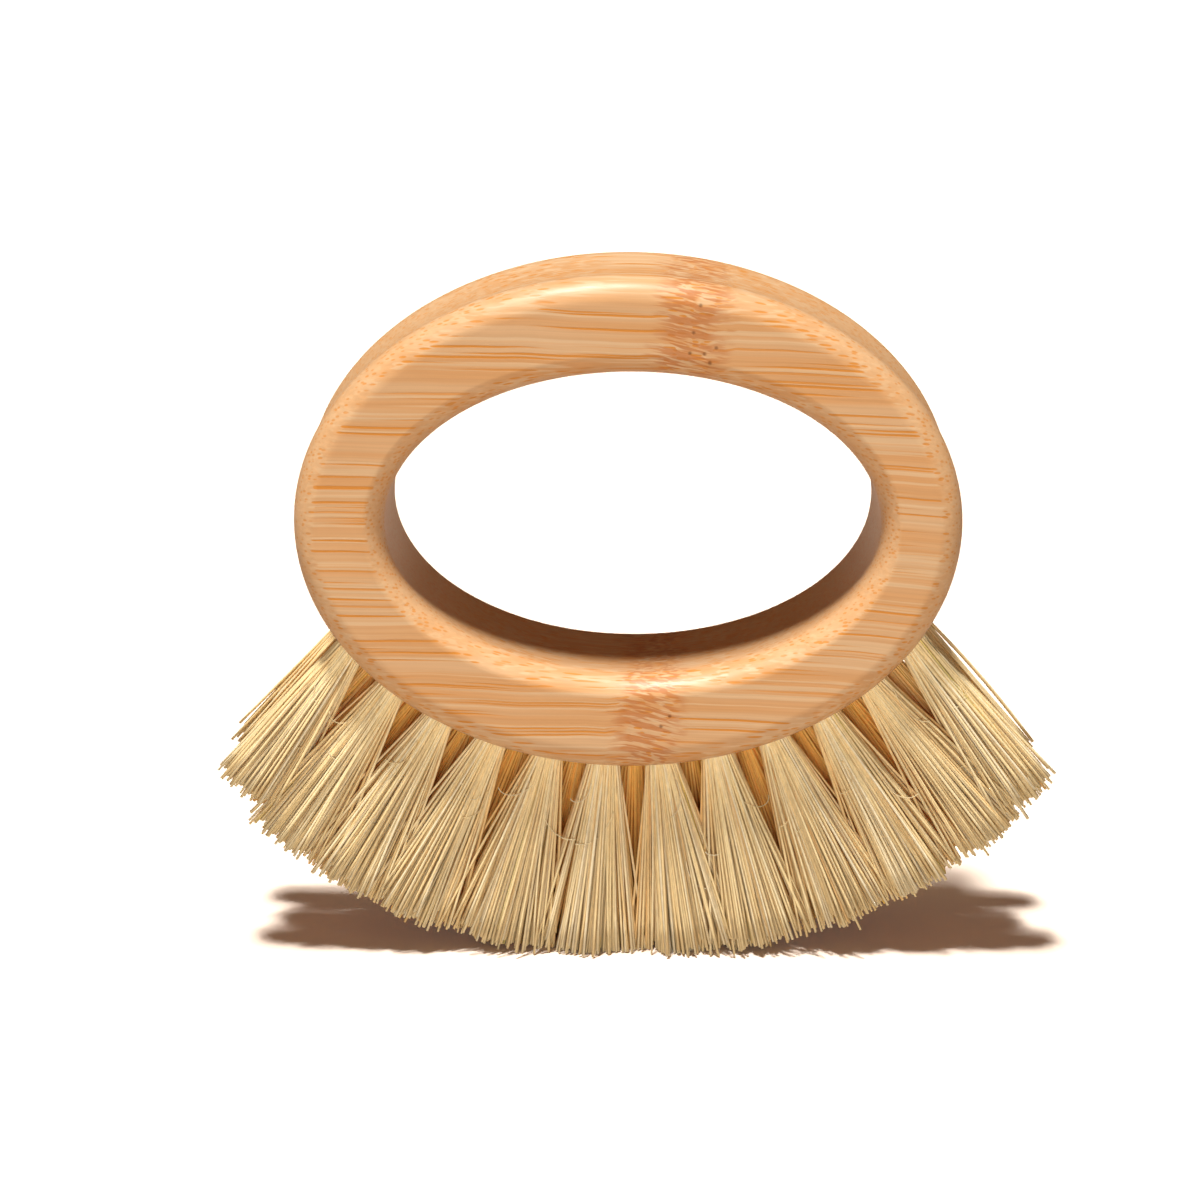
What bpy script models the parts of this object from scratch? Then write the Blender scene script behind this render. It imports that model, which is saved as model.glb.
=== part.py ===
"""Dish brush: an upright bamboo ring handle with plant-fibre tufts set round its lower edge.

The brush stands on its bristles. The origin is on the standing surface under the middle of
the whole brush. +X runs along the ring's long axis, +Y away from the viewer through the
finger hole, and +Z up. All lengths are metres.
"""
import math
import random

import bmesh
import bpy
from mathutils import Matrix, Vector

# Ring handle: an upright oval with an oval finger hole
RING_WIDTH = 0.0990
RING_HEIGHT = 0.0745
RING_THICKNESS = 0.0300
FINGER_HOLE_WIDTH = 0.0734
FINGER_HOLE_HEIGHT = 0.0460
FINGER_HOLE_RISE = 0.0004
OUTER_EDGE_RADIUS = 0.0030
INNER_EDGE_RADIUS = 0.0027

# Shallow cove that runs round the ring's outer edge, between its two lips
COVE_WIDTH = 0.0200
COVE_DEPTH = 0.0016

# Tufts: each is a folded bundle of fibre, wired into its own blind hole
TUFT_DIAMETER = 0.0050
TUFT_FIT = 0.0003
TUFT_HOLE_DEPTH = 0.0090
TUFT_ROOT_PROUD = 0.0006
TUFT_FOLD_CHAMFER = 0.0010

# Three rows of holes, measured along the ring's outer edge. The fan's middle lies a little to
# +X of the ring's lowest point
FAN_SHIFT = 0.0009
ROW_SPACING = 0.0080
OUTER_ROW_TUFTS = 12
OUTER_ROW_PITCH = 0.0086
MIDDLE_ROW_TUFTS = 11
MIDDLE_ROW_PITCH = 0.0082

# Fan of the tufts: lean of the last tuft of a row, reach past the ring, and spread at the tips
END_LEAN = math.radians(37.5)
MIDDLE_REACH = 0.0305
LEFT_END_REACH = 0.0265
RIGHT_END_REACH = 0.0290
STANDING_TRIM = 0.0005
OUTER_ROW_SPLAY = 0.0012
TIP_CLEARANCE = 0.0003

# Strands: triangular, side by side on the tuft's root and tapered to the tip
STRAND_ROOT_SHARE = 0.80
STRAND_TAPER = 0.85
STRAND_LENGTH_SCATTER = 0.0004
SCATTER_SEED = 7

# Facets of the round shapes
RING_STATIONS = 72
EDGE_FACETS = 3
COVE_FACETS = 6
HOLE_FACETS = 12
RIM_FACETS = 9
CORE_RADIUS_SHARE = 0.45
REACH_FALL_POWER = 4

# Finish: base colour (linear), roughness and metallic value
BAMBOO_FINISH = ((0.69, 0.42, 0.20), 0.42, 0.0)
FIBRE_FINISH = ((0.77, 0.61, 0.33), 0.70, 0.0)

# Worked out from the sizes above
OUTER_HALF_WIDTH = RING_WIDTH / 2
OUTER_HALF_HEIGHT = RING_HEIGHT / 2
FACE_Y = RING_THICKNESS / 2
RING_CENTRE_HEIGHT = OUTER_HALF_HEIGHT + MIDDLE_REACH - STANDING_TRIM
END_ARC = OUTER_ROW_PITCH * (OUTER_ROW_TUFTS - 1) / 2
TUFT_RADIUS = TUFT_DIAMETER / 2


def clear_scene():
    """Removes every object that the scene starts with."""
    for thing in list(bpy.data.objects):
        bpy.data.objects.remove(thing, do_unlink=True)


def make_material(name, finish):
    """A Principled material of one colour, roughness and metallic value."""
    colour, roughness, metallic = finish
    material = bpy.data.materials.new(name)
    material.use_nodes = True
    shader = material.node_tree.nodes["Principled BSDF"]
    shader.inputs["Base Color"].default_value = (*colour, 1.0)
    shader.inputs["Roughness"].default_value = roughness
    shader.inputs["Metallic"].default_value = metallic
    material.diffuse_color = (*colour, 1.0)
    return material


def add_object(name, mesh_data, material):
    """Puts a bmesh into the scene as one named, smooth-shaded object."""
    mesh = bpy.data.meshes.new(name)
    bmesh.ops.recalc_face_normals(mesh_data, faces=mesh_data.faces)
    mesh_data.to_mesh(mesh)
    mesh_data.free()
    mesh.materials.append(material)
    mesh.shade_smooth()
    mesh.set_sharp_from_angle(angle=math.radians(40.0))
    thing = bpy.data.objects.new(name, mesh)
    bpy.context.collection.objects.link(thing)
    return thing


def oval_point(half_width, half_height, angle):
    """Point (x, z) of an oval at a parameter angle, counted from its lowest point towards +X."""
    return Vector((half_width * math.sin(angle), -half_height * math.cos(angle)))


def oval_normal(half_width, half_height, angle):
    """Outward unit normal (x, z) of an oval at the same parameter angle."""
    return Vector((half_height * math.sin(angle), -half_width * math.cos(angle))).normalized()


def angle_at_arc(arc):
    """Parameter angle of the ring's outer oval at a signed arc length from its lowest point."""
    steps = 400
    angle = 0.0
    step = arc / steps
    for _ in range(steps):
        pace = math.hypot(OUTER_HALF_WIDTH * math.cos(angle), OUTER_HALF_HEIGHT * math.sin(angle))
        angle += step / pace
    return angle


def quarter_round(radius, turn_from, turn_to, centre):
    """Points of a rounded edge, as (inset, y) pairs on an arc about its centre."""
    points = []
    for step in range(EDGE_FACETS + 1):
        turn = turn_from + (turn_to - turn_from) * step / EDGE_FACETS
        points.append((centre[0] - radius * math.cos(turn), centre[1] + radius * math.sin(turn)))
    return points


def outer_profile():
    """Outer half of the ring's section, from its rear face to its front face.

    Each point is (inset from the outer oval, y): a rounded rear edge, the rear lip, the
    circular cove, the front lip and a rounded front edge.
    """
    radius = OUTER_EDGE_RADIUS
    quarter = math.pi / 2
    rear = quarter_round(radius, quarter, 0.0, (radius, FACE_Y - radius))
    front = quarter_round(radius, 0.0, -quarter, (radius, radius - FACE_Y))
    half = min(COVE_WIDTH / 2, FACE_Y - radius - TUFT_FIT)
    cove = []
    for step in range(COVE_FACETS + 1):
        along = 1.0 - 2.0 * step / COVE_FACETS
        cove.append((COVE_DEPTH * (1.0 - along * along), half * along))
    return rear + cove + front


def inner_profile():
    """Finger-hole half of the ring's section, from its front face to its rear face."""
    radius = INNER_EDGE_RADIUS
    quarter = math.pi / 2
    front = quarter_round(radius, -quarter, 0.0, (radius, radius - FACE_Y))
    rear = quarter_round(radius, 0.0, quarter, (radius, FACE_Y - radius))
    return front + rear


def tuft_lean(arc):
    """Lean of a tuft from straight down: a quarter sine wave along the row.

    arc is the tuft's place along the ring's edge, from the middle of the fan.
    """
    return END_LEAN * math.sin(math.pi / 2 * arc / END_ARC)


def tuft_reach(arc):
    """Length of fibre past the ring's outer oval, shorter at the two ends of the row."""
    end_reach = LEFT_END_REACH if arc < 0.0 else RIGHT_END_REACH
    share = abs(arc / END_ARC) ** REACH_FALL_POWER
    return MIDDLE_REACH + (end_reach - MIDDLE_REACH) * share


def hole_middle(arc):
    """Middle of a tuft's hole on the ring's outer oval, as (x, z) from the ring's middle."""
    return oval_point(OUTER_HALF_WIDTH, OUTER_HALF_HEIGHT, angle_at_arc(arc + FAN_SHIFT))


def tip_centre(arc):
    """Middle of a tuft's tip in the (x, z) plane, from the ring's middle."""
    lean = tuft_lean(arc)
    return hole_middle(arc) + tuft_reach(arc) * Vector((math.sin(lean), -math.cos(lean)))


def ring_middle():
    """Middle of the ring (x, z): the two end tips lie equally far to each side of the origin."""
    return Vector((-(tip_centre(-END_ARC).x + tip_centre(END_ARC).x) / 2, RING_CENTRE_HEIGHT))


def ring_station(angle):
    """Closed section of the ring at one parameter angle, as 3-D points."""
    middle = ring_middle()
    outer_at = oval_point(OUTER_HALF_WIDTH, OUTER_HALF_HEIGHT, angle)
    outer_out = oval_normal(OUTER_HALF_WIDTH, OUTER_HALF_HEIGHT, angle)
    inner_at = oval_point(FINGER_HOLE_WIDTH / 2, FINGER_HOLE_HEIGHT / 2, angle)
    inner_out = oval_normal(FINGER_HOLE_WIDTH / 2, FINGER_HOLE_HEIGHT / 2, angle)
    points = []
    for inset, y in outer_profile():
        flat = outer_at - outer_out * inset
        points.append(Vector((flat.x + middle.x, y, flat.y + middle.y)))
    for inset, y in inner_profile():
        flat = inner_at + inner_out * inset
        points.append(Vector((flat.x + middle.x, y, flat.y + FINGER_HOLE_RISE + middle.y)))
    return points


def build_ring_blank():
    """The ring without its tuft holes: the section carried once round the oval."""
    blank = bmesh.new()
    stations = []
    for station in range(RING_STATIONS):
        angle = 2.0 * math.pi * station / RING_STATIONS
        stations.append([blank.verts.new(point) for point in ring_station(angle)])
    for here, ahead in zip(stations, stations[1:] + stations[:1]):
        count = len(here)
        for index in range(count):
            follow = (index + 1) % count
            blank.faces.new((here[index], here[follow], ahead[follow], ahead[index]))
    return blank


def tuft_frame(arc, row_y):
    """Placement of a tuft: origin on the ring's outer oval, local -Z along the fibres."""
    at = ring_middle() + hole_middle(arc)
    return Matrix.Translation((at.x, row_y, at.y)) @ Matrix.Rotation(-tuft_lean(arc), 4, "Y")


def row_places():
    """Every tuft's place, as (row name, number, arc, row_y, pitch, rows outwards)."""
    rows = (
        ("front", OUTER_ROW_TUFTS, OUTER_ROW_PITCH, -1),
        ("middle", MIDDLE_ROW_TUFTS, MIDDLE_ROW_PITCH, 0),
        ("rear", OUTER_ROW_TUFTS, OUTER_ROW_PITCH, 1),
    )
    for row, count, pitch, side in rows:
        for index in range(count):
            arc = pitch * (index - (count - 1) / 2)
            yield row, index + 1, arc, side * ROW_SPACING, pitch, side


def tip_half_width(arc, pitch):
    """Half the room that a tuft's tip has before it meets the nearer tuft of its row."""
    inward = arc - math.copysign(pitch, arc)
    outward = arc + math.copysign(pitch, arc)
    room = min((tip_centre(arc) - tip_centre(inward)).length,
               (tip_centre(arc) - tip_centre(outward)).length)
    return max(TUFT_RADIUS, room / 2 - TIP_CLEARANCE)


def tip_half_depth():
    """Half the room that a tuft's tip has before it meets the next row."""
    return max(TUFT_RADIUS, (ROW_SPACING + OUTER_ROW_SPLAY) / 2 - TIP_CLEARANCE)


def bundle_cells():
    """Divides a unit disc into 13 triangles, one for each strand of a tuft.

    The rim has nine corners and the core three. The core is one triangle, each rim edge
    makes a triangle with the nearest core corner, and each core edge one with the rim
    corner that lies between.
    """
    rim = [(math.cos(turn), math.sin(turn))
           for turn in (2 * math.pi * corner / RIM_FACETS for corner in range(RIM_FACETS))]
    core_count = RIM_FACETS // 3
    core_turn = math.pi / RIM_FACETS
    core = []
    for corner in range(core_count):
        turn = 2 * math.pi * corner / core_count + core_turn
        core.append((CORE_RADIUS_SHARE * math.cos(turn), CORE_RADIUS_SHARE * math.sin(turn)))
    points = rim + core
    cells = [tuple(RIM_FACETS + corner for corner in range(core_count))]
    for corner in range(core_count):
        own = RIM_FACETS + corner
        following = RIM_FACETS + (corner + 1) % core_count
        for edge in (-1, 0, 1):
            first = (3 * corner + edge) % RIM_FACETS
            cells.append((own, first, (first + 1) % RIM_FACETS))
        cells.append((own, (3 * corner + 2) % RIM_FACETS, following))
    return points, cells


def trimmed(root, tip):
    """Tip of one strand corner, drawn back along the strand to the standing surface."""
    if tip.z >= 0.0:
        return tip
    return root.lerp(tip, root.z / (root.z - tip.z))


def add_strand(tuft, root_corners, aim, placement):
    """Raises one tapered triangular strand from three corners on the tuft's root.

    aim is the vector from the strand's root to its tip, in the tuft's own frame.
    """
    middle = sum(root_corners, Vector()) / len(root_corners)
    roots = [placement @ corner for corner in root_corners]
    tips = []
    for corner, root in zip(root_corners, roots):
        tip = placement @ (middle + aim + (corner - middle) * STRAND_TAPER)
        tips.append(trimmed(root, tip))
    low = [tuft.verts.new(point) for point in roots]
    high = [tuft.verts.new(point) for point in tips]
    for index in range(3):
        follow = (index + 1) % 3
        tuft.faces.new((low[index], low[follow], high[follow], high[index]))
    tuft.faces.new(high)
    return low


def build_tuft(arc, row_y, pitch, side, scatter):
    """One tuft: the folded root that fills its hole, and thirteen strands fanned from it."""
    placement = tuft_frame(arc, row_y)
    reach = tuft_reach(arc)
    half_width = tip_half_width(arc, pitch)
    half_depth = tip_half_depth()
    points, cells = bundle_cells()
    tuft = bmesh.new()
    rings = []
    for radius, height in (
        (TUFT_RADIUS - TUFT_FOLD_CHAMFER, TUFT_HOLE_DEPTH - TUFT_FIT),
        (TUFT_RADIUS, TUFT_HOLE_DEPTH - TUFT_FIT - TUFT_FOLD_CHAMFER),
    ):
        rings.append([tuft.verts.new(placement @ Vector((x * radius, y * radius, height)))
                      for x, y in points[:RIM_FACETS]])
    mouth = [Vector((x * TUFT_RADIUS, y * TUFT_RADIUS, -TUFT_ROOT_PROUD)) for x, y in points]
    mouth_verts = [tuft.verts.new(placement @ point) for point in mouth]
    rings.append(mouth_verts[:RIM_FACETS])
    tuft.faces.new(rings[0])
    for lower, upper in zip(rings, rings[1:]):
        for index in range(RIM_FACETS):
            follow = (index + 1) % RIM_FACETS
            tuft.faces.new((lower[index], lower[follow], upper[follow], upper[index]))
    for cell in cells:
        corners = [mouth[index] for index in cell]
        middle = sum(corners, Vector()) / len(corners)
        root_corners = [middle.lerp(corner, STRAND_ROOT_SHARE) for corner in corners]
        spread = Vector((middle.x / TUFT_RADIUS * half_width, middle.y / TUFT_RADIUS * half_depth, 0.0))
        offset = spread - Vector((middle.x, middle.y, 0.0)) + Vector((0.0, side * OUTER_ROW_SPLAY, 0.0))
        length = reach - TUFT_ROOT_PROUD + scatter.uniform(-STRAND_LENGTH_SCATTER, STRAND_LENGTH_SCATTER)
        aim = (offset + Vector((0.0, 0.0, -reach))).normalized() * length
        low = add_strand(tuft, root_corners, aim, placement)
        for index in range(3):
            follow = (index + 1) % 3
            tuft.faces.new((mouth_verts[cell[index]], mouth_verts[cell[follow]], low[follow], low[index]))
    return tuft


def build_hole_cutters(ring_material):
    """One hidden object that holds a drill-shaped cutter for each tuft hole."""
    drills = bmesh.new()
    radius = (TUFT_RADIUS + TUFT_FIT) / math.cos(math.pi / HOLE_FACETS)
    past_ring = 2 * OUTER_EDGE_RADIUS
    length = TUFT_HOLE_DEPTH + past_ring
    for _, _, arc, row_y, _, _ in row_places():
        middle = Matrix.Translation((0.0, 0.0, (TUFT_HOLE_DEPTH - past_ring) / 2))
        bmesh.ops.create_cone(drills, cap_ends=True, segments=HOLE_FACETS, radius1=radius, radius2=radius,
                              depth=length, matrix=tuft_frame(arc, row_y) @ middle)
    cutter = add_object("tuft_hole_drills", drills, ring_material)
    cutter.hide_render = True
    cutter.display_type = "WIRE"
    return cutter


def build_ring(material):
    """The bamboo ring with its blind tuft holes."""
    ring = add_object("bamboo_ring", build_ring_blank(), material)
    cut = ring.modifiers.new("tuft_holes", "BOOLEAN")
    cut.operation = "DIFFERENCE"
    cut.solver = "EXACT"
    cut.object = build_hole_cutters(material)
    return ring


def main():
    """Builds the ring and the three rows of tufts."""
    clear_scene()
    build_ring(make_material("bamboo", BAMBOO_FINISH))
    fibre = make_material("plant_fibre", FIBRE_FINISH)
    scatter = random.Random(SCATTER_SEED)
    for row, number, arc, row_y, pitch, side in row_places():
        tuft = build_tuft(arc, row_y, pitch, side, scatter)
        add_object(f"tuft_{row}_{number:02d}", tuft, fibre)


if __name__ == "__main__":
    main()
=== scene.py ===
"""Looks of a dish brush: a striped bamboo ring handle over a fan of plant-fibre tufts.

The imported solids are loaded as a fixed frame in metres. The ring gets a finely shaped oval
with its rounded edges, cove and drilled tuft holes, and each tuft gets its own bundle of
separate fibres. +X is the ring's long axis, +Y points away from the viewer and +Z up.
"""
from __future__ import annotations

import logging
import math
from dataclasses import dataclass
from enum import Enum
from typing import Iterator

import bpy
import numpy as np
from mathutils import Matrix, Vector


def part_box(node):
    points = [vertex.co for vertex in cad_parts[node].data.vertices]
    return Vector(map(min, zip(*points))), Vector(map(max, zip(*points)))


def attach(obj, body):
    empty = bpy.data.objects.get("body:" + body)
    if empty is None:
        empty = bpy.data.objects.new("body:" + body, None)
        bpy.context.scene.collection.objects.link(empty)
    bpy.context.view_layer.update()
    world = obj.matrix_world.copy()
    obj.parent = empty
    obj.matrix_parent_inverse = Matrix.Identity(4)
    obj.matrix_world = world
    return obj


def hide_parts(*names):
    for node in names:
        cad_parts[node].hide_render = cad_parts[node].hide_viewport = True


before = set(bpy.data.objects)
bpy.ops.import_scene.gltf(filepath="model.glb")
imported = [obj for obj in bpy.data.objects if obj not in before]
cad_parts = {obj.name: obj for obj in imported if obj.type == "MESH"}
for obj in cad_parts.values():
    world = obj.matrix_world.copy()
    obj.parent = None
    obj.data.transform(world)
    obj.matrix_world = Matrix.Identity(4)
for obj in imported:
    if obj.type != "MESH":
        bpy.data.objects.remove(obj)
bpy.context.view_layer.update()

LOG = logging.getLogger("dish_brush")
MM = 0.001
FULL_TURN = 2.0 * math.pi
GOLDEN_TURN = math.pi * (3.0 - math.sqrt(5.0))
BODY = "root"
SEED = 11
# Millimetres, past the border of any pit.
FAR = 9.0
# Blender's numbers of the Mix node's colour inputs and of its colour output.
MIX_FIRST, MIX_SECOND, MIX_RESULT = 6, 7, 2

RGB = tuple[float, float, float]
# The two ends of a range, and for a ramp also its results there where they aren't 0 and 1.
Span = tuple[float, ...]
Socket = bpy.types.NodeSocket
WHITE: RGB = (1.0, 1.0, 1.0)


class Row(Enum):
    """The three rows of tufts, by the side of the ring's middle plane that each lies on."""

    FRONT = -1
    MIDDLE = 0
    REAR = 1


class Slot(Enum):
    """Material slots of the record."""

    BAMBOO = "bamboo"
    FIBRE = "plant_fibre"


def smooth_step(value: np.ndarray, low: float, high: float) -> np.ndarray:
    """Ramp from 0 at low to 1 at high: 3 t squared minus 2 t cubed, t the share of the way."""
    share = np.clip((value - low) / (high - low), 0.0, 1.0)
    return share * share * (3.0 - 2.0 * share)


def join(*parts: object) -> np.ndarray:
    """Joins arrays or numbers, spread to one shape, into an array with a last axis for them."""
    return np.stack(np.broadcast_arrays(*parts), axis=-1)


def put_in_place(points: np.ndarray, placement: Matrix) -> np.ndarray:
    """Turns points, with x, y and z last, by a placement and moves them to it."""
    matrix = np.array(placement)
    return points @ matrix[:3, :3].T + matrix[:3, 3]


def mesh_from_quads(name: str, points: np.ndarray, quads: np.ndarray) -> bpy.types.Mesh:
    """Makes a smooth-shaded mesh from whole arrays.

    Args:
        name: name of the mesh.
        points: vertex places, as rows of x, y, z.
        quads: vertex numbers, four to a row.

    Returns:
        The mesh.
    """
    mesh = bpy.data.meshes.new(name)
    mesh.vertices.add(len(points))
    mesh.vertices.foreach_set("co", points.astype(np.float32).ravel())
    mesh.loops.add(quads.size)
    mesh.loops.foreach_set("vertex_index", quads.astype(np.int32).ravel())
    mesh.polygons.add(len(quads))
    mesh.polygons.foreach_set("loop_start", np.arange(0, quads.size, 4, dtype=np.int32))
    mesh.polygons.foreach_set("use_smooth", np.ones(len(quads), dtype=bool))
    mesh.update(calc_edges=True)
    return mesh


def store_values(mesh: bpy.types.Mesh, name: str, values: np.ndarray) -> None:
    """Stores one number for each vertex as a named attribute of the mesh."""
    attribute = mesh.attributes.new(name, "FLOAT", "POINT")
    attribute.data.foreach_set("value", np.ascontiguousarray(values, dtype=np.float32))


def ring_quads(rows: int, columns: int) -> np.ndarray:
    """Faces of a grid whose rows and columns both close on themselves.

    Args:
        rows: number of rows of vertices.
        columns: number of vertices in a row.

    Returns:
        Vertex numbers, four to a face.
    """
    row, column = np.meshgrid(np.arange(rows), np.arange(columns), indexing="ij")
    near, far = row * columns, (row + 1) % rows * columns
    follow = (column + 1) % columns
    return join(near + column, near + follow, far + follow, far + column).reshape(-1, 4)


def link_object(name: str, data: bpy.types.ID | None) -> bpy.types.Object:
    """Makes an object of some data at the origin and puts it into the scene.

    Args:
        name: name of the object.
        data: its mesh, lamp or camera.

    Returns:
        The object.
    """
    made = bpy.data.objects.new(name, data)
    bpy.context.scene.collection.objects.link(made)
    return made


def add_piece(name: str, mesh: bpy.types.Mesh, material: bpy.types.Material) -> bpy.types.Object:
    """Puts a mesh, already in place, into the scene with its one material."""
    mesh.materials.append(material)
    return link_object(name, mesh)


@dataclass(frozen=True)
class Oval:
    """An upright oval: half sizes, and its centre. Angles run from its lowest point to +X."""

    half_width: float
    half_height: float
    centre_x: float
    centre_height: float

    def point(self, angle: np.ndarray) -> np.ndarray:
        """Points (x, z): the half sizes times the sine and minus the cosine, from the centre."""
        return join(self.centre_x + self.half_width * np.sin(angle),
                    self.centre_height - self.half_height * np.cos(angle))

    def normal(self, angle: np.ndarray) -> np.ndarray:
        """Outward unit normals (x, z): the tangent turned by a right angle."""
        across = join(self.half_height * np.sin(angle), -self.half_width * np.cos(angle))
        return across / np.linalg.norm(across, axis=-1, keepdims=True)

    def angle_at_arc(self, arc: float, samples: int = 4001) -> float:
        """Parameter angle at a signed arc length from the lowest point.

        Args:
            arc: arc length in metres.
            samples: number of points that the arc is summed over.

        Returns:
            The angle, read off the running sum of the oval's speed.
        """
        angles = np.linspace(-math.pi, math.pi, samples)
        speed = np.hypot(self.half_width * np.cos(angles), self.half_height * np.sin(angles))
        steps = (speed[1:] + speed[:-1]) / 2 * np.diff(angles)
        lengths = np.concatenate([[0.0], np.cumsum(steps)])
        lengths -= np.interp(0.0, angles, lengths)
        return float(np.interp(arc, lengths, angles))


@dataclass(frozen=True)
class NoiseLayer:
    """A noise in millimetres: waves along each axis, finer layers, and the ramp laid on it."""

    waves: RGB
    detail: float
    ramp: Span


class NodeGraph:
    """Short calls that add and join shader nodes in one node tree."""

    def __init__(self, tree: bpy.types.NodeTree) -> None:
        """Keeps the tree that every call adds to."""
        self.tree = tree

    def feed(self, node: bpy.types.Node, inputs: dict[int | str, object]) -> None:
        """Joins a node's inputs to output sockets, or sets them.

        Args:
            node: the node.
            inputs: an output socket, a number or a tuple for each input, by number or name.
        """
        for key, value in inputs.items():
            if isinstance(value, Socket):
                self.tree.links.new(value, node.inputs[key])
            else:
                node.inputs[key].default_value = value

    def add(self, kind: str, inputs: dict[int | str, object] | None = None,
            **settings: object) -> bpy.types.Node:
        """Adds a node, sets its properties and feeds its inputs.

        Args:
            kind: Blender's name of the node type.
            inputs: what each input gets, by number or name.
            settings: node properties by name.

        Returns:
            The node.
        """
        node = self.tree.nodes.new(kind)
        for key, value in settings.items():
            setattr(node, key, value)
        self.feed(node, inputs or {})
        return node

    def math(self, operation: str, *values: object, clamp: bool = False) -> Socket:
        """Result of a Math node on some values, held between 0 and 1 where clamp says so."""
        settings = {"operation": operation, "use_clamp": clamp}
        return self.add("ShaderNodeMath", dict(enumerate(values)), **settings).outputs[0]

    def times(self, first: object, second: object) -> Socket:
        """Product of two numbers."""
        return self.math("MULTIPLY", first, second)

    def line(self, value: object, slope: object, start: object) -> Socket:
        """Value times slope, plus start."""
        return self.math("MULTIPLY_ADD", value, slope, start)

    def vector(self, *parts: object) -> Socket:
        """Vector made of three numbers."""
        return self.add("ShaderNodeCombineXYZ", dict(enumerate(parts))).outputs[0]

    def parts(self, vector: object) -> tuple[Socket, ...]:
        """The x, y and z of a vector."""
        return tuple(self.add("ShaderNodeSeparateXYZ", {0: vector}).outputs)

    def stretch(self, vector: object, factors: RGB) -> Socket:
        """Vector whose three parts are multiplied by three factors."""
        node = self.add("ShaderNodeVectorMath", {0: vector, 1: factors}, operation="MULTIPLY")
        return node.outputs[0]

    def millimetres(self, vector: object) -> Socket:
        """A place in metres, given in millimetres."""
        return self.stretch(vector, (1.0 / MM, 1.0 / MM, 1.0 / MM))

    def coordinates(self) -> Socket:
        """Object coordinates, in metres."""
        return self.add("ShaderNodeTexCoord").outputs["Object"]

    def attribute(self, name: str) -> Socket:
        """Number that the mesh stores under a name."""
        return self.add("ShaderNodeAttribute", attribute_name=name).outputs["Fac"]

    def ramp(self, value: object, span: Span) -> Socket:
        """Smooth ramp over a span of values.

        Args:
            value: the socket that is mapped.
            span: the span's two ends, and the results there unless they are 0 and 1.

        Returns:
            The output socket.
        """
        inputs = {"Value": value, **dict(zip(("From Min", "From Max", "To Min", "To Max"), span))}
        node = self.add("ShaderNodeMapRange", inputs, interpolation_type="SMOOTHSTEP")
        return node.outputs["Result"]

    def noise(self, vector: object, scale: float = 1.0, detail: float = 2.0,
              roughness: float = 0.5) -> Socket:
        """Noise around a half, of so many waves in a unit, with finer layers of some weight."""
        inputs = {"Vector": vector, "Scale": scale, "Detail": detail, "Roughness": roughness}
        return self.add("ShaderNodeTexNoise", inputs, normalize=True).outputs["Fac"]

    def swing(self, vector: object, scale: float, width: float) -> Socket:
        """Noise of a scale, centred on 0, that swings over about a width."""
        return self.line(self.noise(vector, scale), width, -width / 2)

    def layer(self, vector: object, layer: NoiseLayer) -> Socket:
        """Mask that a noise layer gives at a vector."""
        noise = self.noise(self.stretch(vector, layer.waves), detail=layer.detail)
        return self.ramp(noise, layer.ramp)

    def group(self, tree: bpy.types.NodeTree, **inputs: object) -> bpy.types.NodeOutputs:
        """Places a node group and returns its outputs. Inputs are named in lower case."""
        named = {key.replace("_", " ").title(): value for key, value in inputs.items()}
        return self.add("ShaderNodeGroup", named, node_tree=tree).outputs

    def streaks(self, vector: object, along: float, across: float) -> Socket:
        """Mask of the shared streak group, with its waves along the first axis and the others."""
        tree = bpy.data.node_groups["fine_streaks"]
        return self.group(tree, vector=vector, along=along, across=across)["Mask"]

    def blend(self, share: object, first: object, second: object, mode: str = "MIX") -> Socket:
        """Mixes two colours.

        Args:
            share: how much of the second colour shows.
            first: the colour at 0, as a socket or an RGB tuple.
            second: the colour at 1, as a socket or an RGB tuple.
            mode: how the second colour is laid on the first.

        Returns:
            The output socket.
        """
        inputs: dict[int | str, object] = {0: share}
        for key, value in ((MIX_FIRST, first), (MIX_SECOND, second)):
            inputs[key] = (*value, 1.0) if isinstance(value, tuple) else value
        node = self.add("ShaderNodeMix", inputs, data_type="RGBA", blend_type=mode)
        return node.outputs[MIX_RESULT]

    def shade(self, colour: object, value: object) -> Socket:
        """Colour with its brightness multiplied by a value."""
        node = self.add("ShaderNodeHueSaturation", {"Color": colour, "Value": value})
        return node.outputs[0]


def new_material(name: str) -> tuple[bpy.types.Material, NodeGraph, bpy.types.Node]:
    """Makes a material, and returns it with its graph and its Principled shader."""
    material = bpy.data.materials.new(name)
    material.use_nodes = True
    return material, NodeGraph(material.node_tree), material.node_tree.nodes["Principled BSDF"]


def new_group(name: str, inputs: dict[str, str], outputs: dict[str, str]) -> tuple[
        NodeGraph, bpy.types.Node, bpy.types.Node]:
    """Makes an empty shader node group.

    Args:
        name: name of the group.
        inputs: kind of each input, by name.
        outputs: kind of each output, by name.

    Returns:
        The graph, the node that holds the inputs, and the node that takes the outputs.
    """
    tree = bpy.data.node_groups.new(name, "ShaderNodeTree")
    for way, sockets in (("INPUT", inputs), ("OUTPUT", outputs)):
        for key, kind in sockets.items():
            tree.interface.new_socket(key, in_out=way, socket_type=f"NodeSocket{kind}")
    graph = NodeGraph(tree)
    return graph, graph.add("NodeGroupInput"), graph.add("NodeGroupOutput")


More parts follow.
